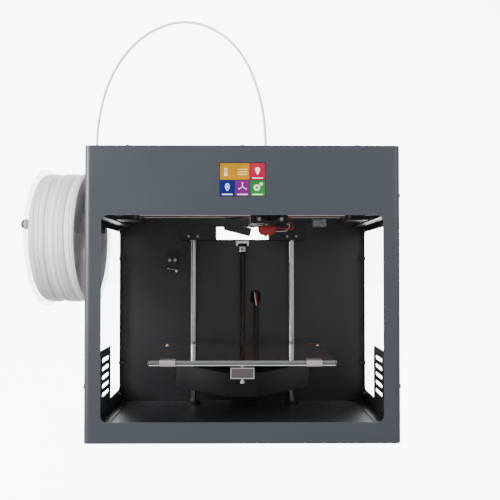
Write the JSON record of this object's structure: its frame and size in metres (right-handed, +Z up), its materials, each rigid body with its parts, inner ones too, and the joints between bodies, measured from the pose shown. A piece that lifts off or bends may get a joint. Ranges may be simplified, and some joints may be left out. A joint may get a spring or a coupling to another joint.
{
  "type": "fdm printer",
  "caption": "Desktop fused-filament printer in an open-fronted sheet-metal case, with a heated bed, a belt gantry, a touch screen, a side spool and a guide tube.",
  "frame": {"origin": "centre of the case's footprint, on the surface that it stands on", "axes": "+Z up, the open front faces -Y, the spool hangs on the -X side"},
  "size_m": [0.5329, 0.3646, 0.6108],
  "materials": {
    "case_paint": "semi-matt powder coat",
    "inner_paint": "matt dark coat",
    "rail_paint": "satin grey coat",
    "carrier_paint": "black powder coat",
    "holder_black": "moulded black",
    "clear_pane": "clear sheet",
    "screen_black": "glossy black",
    "black_steel": "blackened steel",
    "supply_metal": "perforated sheet",
    "board_green": "circuit board",
    "black_plastic": "moulded black",
    "fan_plastic": "satin moulded black",
    "polished_steel": "ground and polished",
    "bright_steel": "bright zinc",
    "screw_steel": "oiled thread",
    "belt_rubber": "toothed belt",
    "motor_black": "black with a satin end",
    "aluminium": "satin",
    "brass": "machined",
    "pale_plastic": "moulded pale grey",
    "red_silicone": "soft silicone",
    "red_wire": "wire insulation",
    "bed_glass": "dark red-brown, mirror-like",
    "black_sleeve": "braided sleeve",
    "clear_plastic": "clear moulded",
    "white_filament": "wound strand",
    "tube_white": "translucent white"
  },
  "bodies": {
    "frame": {"case_shell": "case_paint", "top_cover": "case_paint", "base_plate": "case_paint", "rear_partition": "inner_paint", "rear_cover": "case_paint", "side_panes": "clear_pane", "side_rails": "rail_paint", "touch_screen": "screen_black", "case_screws": "black_steel", "power_supply": "supply_metal", "control_board": "board_green", "rear_fittings": "black_plastic", "y_belts": "belt_rubber", "junction_housing": "pale_plastic", "guide_rods": "polished_steel", "rod_holders": "holder_black", "axis_motors": "motor_black", "top_bearing": "aluminium", "z_switch": "black_plastic", "bed_cable": "black_sleeve", "spool_holder": "black_plastic", "spool_axle": "polished_steel", "filament_strand": "white_filament", "guide_tube_left": "tube_white"},
    "gantry": {"gantry_blocks": "black_plastic", "x_rods": "polished_steel", "x_belt": "belt_rubber", "x_motor": "motor_black"},
    "print_head": {"carriage": "black_plastic", "hot_end": "aluminium", "heater_sock": "red_silicone", "heater_wires": "red_wire", "head_fans": "fan_plastic", "head_fixings": "bright_steel", "extruder_block": "aluminium", "extruder_motor": "motor_black", "guide_tube_right": "tube_white"},
    "bed": {"glass_plate": "bed_glass", "heater_plate": "aluminium", "bed_clips": "bright_steel", "support_beam": "aluminium", "levelling_hardware": "bright_steel", "bed_carrier": "carrier_paint", "z_bearings": "bright_steel"},
    "lead_screw": {"lead_screw": "screw_steel"},
    "y_shaft": {"y_shaft": "polished_steel"},
    "y_idlers": {"y_idlers": "aluminium"},
    "x_pulley": {"x_pulley": "aluminium"},
    "x_idler": {"x_idler": "aluminium"},
    "spool": {"spool_reel": "clear_plastic", "filament_winding": "white_filament"},
    "front_rotor": {"front_rotor": "fan_plastic"},
    "cooling_rotor": {"cooling_rotor": "fan_plastic"},
    "exhaust_rotor": {"exhaust_rotor": "black_plastic"},
    "switch_rocker": {"switch_rocker": "black_plastic"},
    "drive_gear": {"drive_gear": "brass"},
    "idler_lever": {"idler_lever": "bright_steel"},
    "knob_left": {"knob_left": "black_plastic"},
    "knob_right": {"knob_right": "black_plastic"},
    "z_switch_lever": {"z_switch_lever": "bright_steel"}
  },
  "joints": [
    {"name": "gantry_slide", "type": "slide", "parent": "frame", "child": "gantry", "axis": [0, 1, 0], "range_m": [-0.09, 0.082], "deforming": ["guide_tube_left"]},
    {"name": "head_slide", "type": "slide", "parent": "gantry", "child": "print_head", "axis": [1, 0, 0], "range_m": [-0.14, 0.075], "deforming": ["guide_tube_right"]},
    {"name": "bed_slide", "type": "slide", "parent": "frame", "child": "bed", "axis": [0, 0, 1], "range_m": [-0.024, 0.1685]},
    {"name": "screw_spin", "type": "hinge", "parent": "frame", "child": "lead_screw", "pos_m": [0, 0.101, 0.1], "axis": [0, 0, 1], "continuous": true},
    {"name": "y_shaft_spin", "type": "hinge", "parent": "frame", "child": "y_shaft", "pos_m": [0, 0.104, 0.352], "axis": [1, 0, 0], "continuous": true},
    {"name": "y_idler_spin", "type": "hinge", "parent": "frame", "child": "y_idlers", "pos_m": [0, -0.16, 0.352], "axis": [1, 0, 0], "continuous": true},
    {"name": "x_pulley_spin", "type": "hinge", "parent": "gantry", "child": "x_pulley", "pos_m": [-0.16, -0.05, 0.332], "axis": [0, 0, 1], "continuous": true},
    {"name": "x_idler_spin", "type": "hinge", "parent": "gantry", "child": "x_idler", "pos_m": [0.16, -0.05, 0.332], "axis": [0, 0, 1], "continuous": true},
    {"name": "spool_spin", "type": "hinge", "parent": "frame", "child": "spool", "pos_m": [-0.25184, -0.04315, 0.27], "axis": [-0.9966, 0.0819, 0], "continuous": true},
    {"name": "front_fan_spin", "type": "hinge", "parent": "print_head", "child": "front_rotor", "pos_m": [0.04, -0.067, 0.312], "axis": [0, 1, 0], "continuous": true},
    {"name": "cooling_fan_spin", "type": "hinge", "parent": "print_head", "child": "cooling_rotor", "pos_m": [-0.007, -0.0275, 0.2834], "axis": [-0.2419, 0, -0.9703], "continuous": true},
    {"name": "exhaust_fan_spin", "type": "hinge", "parent": "frame", "child": "exhaust_rotor", "pos_m": [0.11, 0.171, 0.18], "axis": [0, 1, 0], "continuous": true},
    {"name": "rocker_tilt", "type": "hinge", "parent": "frame", "child": "switch_rocker", "pos_m": [0.13, 0.178, 0.04], "axis": [1, 0, 0], "range_deg": [-20, 0]},
    {"name": "gear_spin", "type": "hinge", "parent": "print_head", "child": "drive_gear", "pos_m": [0.04158, -0.0275, 0.347], "axis": [0, 1, 0], "continuous": true},
    {"name": "lever_tilt", "type": "hinge", "parent": "print_head", "child": "idler_lever", "pos_m": [0.022, -0.0275, 0.34], "axis": [0, 1, 0], "range_deg": [-8, 0], "stiffness_Nm_per_rad": 0.8, "springref_deg": 6.88},
    {"name": "knob_left_spin", "type": "hinge", "parent": "bed", "child": "knob_left", "pos_m": [-0.064, 0.062, 0.073], "axis": [0, 0, 1], "continuous": true},
    {"name": "knob_right_spin", "type": "hinge", "parent": "bed", "child": "knob_right", "pos_m": [0.064, 0.062, 0.073], "axis": [0, 0, 1], "continuous": true},
    {"name": "switch_lever_tilt", "type": "hinge", "parent": "frame", "child": "z_switch_lever", "pos_m": [-0.1244, 0.1175, 0.2251], "axis": [0, -1, 0], "range_deg": [0, 4], "stiffness_Nm_per_rad": 0.02, "springref_deg": -5.73}
  ],
  "couplings": [
    {"joint": "screw_spin", "follows": "bed_slide", "rad_per_m": 785.4},
    {"joint": "y_shaft_spin", "follows": "gantry_slide", "rad_per_m": 161.3},
    {"joint": "y_idler_spin", "follows": "gantry_slide", "rad_per_m": 161.3},
    {"joint": "x_pulley_spin", "follows": "head_slide", "rad_per_m": -161.3},
    {"joint": "x_idler_spin", "follows": "head_slide", "rad_per_m": -161.3}
  ]
}
